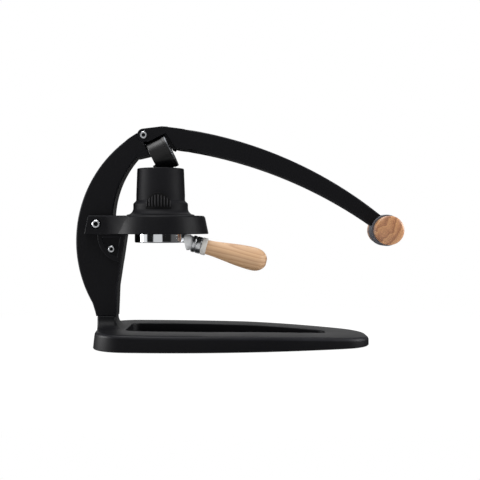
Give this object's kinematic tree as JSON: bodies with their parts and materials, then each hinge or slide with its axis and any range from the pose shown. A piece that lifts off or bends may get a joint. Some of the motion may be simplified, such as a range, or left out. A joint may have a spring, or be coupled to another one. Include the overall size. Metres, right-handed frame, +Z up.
{
  "type": "manual espresso maker",
  "caption": "Lever-press manual espresso maker with a looped cast base, arched post, curved lever with wooden cross-bar, tilted gauge, brew cylinder and a bottomless portafilter.",
  "frame": {"origin": "middle of the whole maker's bounding box on the table plane, with the lever down and the portafilter locked", "axes": "+X forwards along the lever to its wooden cross-bar, +Y away from the side that the picture shows, +Z up"},
  "size_m": [0.4354, 0.194, 0.2912],
  "materials": {
    "black_coat": "satin black powder coat on castings",
    "brew_black": "matte black coat on the brew cylinder",
    "tray_black": "satin black coat on sheet",
    "pad_rubber": "matte black moulded pad",
    "foot_rubber": "matte black rubber",
    "gasket_silicone": "matte red-brown silicone",
    "steel": "satin stainless steel",
    "chrome": "polished chrome",
    "dial_white": "printed white dial",
    "needle_red": "red painted needle",
    "gauge_glass": "clear flat glass",
    "wood": "oiled pale hardwood"
  },
  "bodies": {
    "frame": {"base_casting": "black_coat", "feet": "foot_rubber", "post": "black_coat", "post_bolts": "steel", "yoke": "black_coat", "yoke_screws": "steel", "lug_screws": "steel", "brew_cylinder": "brew_black", "grip_pads": "pad_rubber", "group_gasket": "gasket_silicone", "shower_screen": "steel"},
    "lever": {"lever_arm": "black_coat", "pivot_bolt": "steel", "handle_hub": "black_coat", "handle_rod": "steel", "handle_grips": "wood", "gauge_case": "black_coat", "gauge_screw": "steel", "gauge_dial": "dial_white", "gauge_glass": "gauge_glass", "gauge_bezel": "black_coat"},
    "needle": {"gauge_needle": "needle_red"},
    "plunger_body": {"plunger": "steel", "piston_seal": "foot_rubber"},
    "portafilter": {"portafilter_head": "chrome", "filter_basket": "steel", "handle_neck": "chrome", "handle_ferrule": "steel", "handle_wood": "wood"},
    "tray": {"drip_tray": "tray_black", "drip_grate": "tray_black"}
  },
  "joints": [
    {"name": "lever_pivot", "type": "hinge", "parent": "frame", "child": "lever", "pos_m": [-0.12725, 0, 0.2795], "axis": [0, -1, 0], "range_deg": [0, 75]},
    {"name": "plunger_slide", "type": "slide", "parent": "frame", "child": "plunger_body", "axis": [0, 0, 1], "range_m": [0, 0.02618]},
    {"name": "needle_turn", "type": "hinge", "parent": "lever", "child": "needle", "pos_m": [-0.10471, 0, 0.25633], "axis": [-0.8988, 0, -0.4384], "range_deg": [0, 240]},
    {"name": "portafilter_lock", "type": "hinge", "parent": "frame", "child": "portafilter", "pos_m": [-0.10625, 0, 0.148], "axis": [0, 0, -1], "range_deg": [0, 45]},
    {"name": "tray_lift", "type": "slide", "parent": "frame", "child": "tray", "axis": [0, 0, 1], "range_m": [0, 0.03]}
  ],
  "couplings": [
    {"joint": "plunger_slide", "follows": "lever_pivot", "m_per_rad": 0.02}
  ]
}
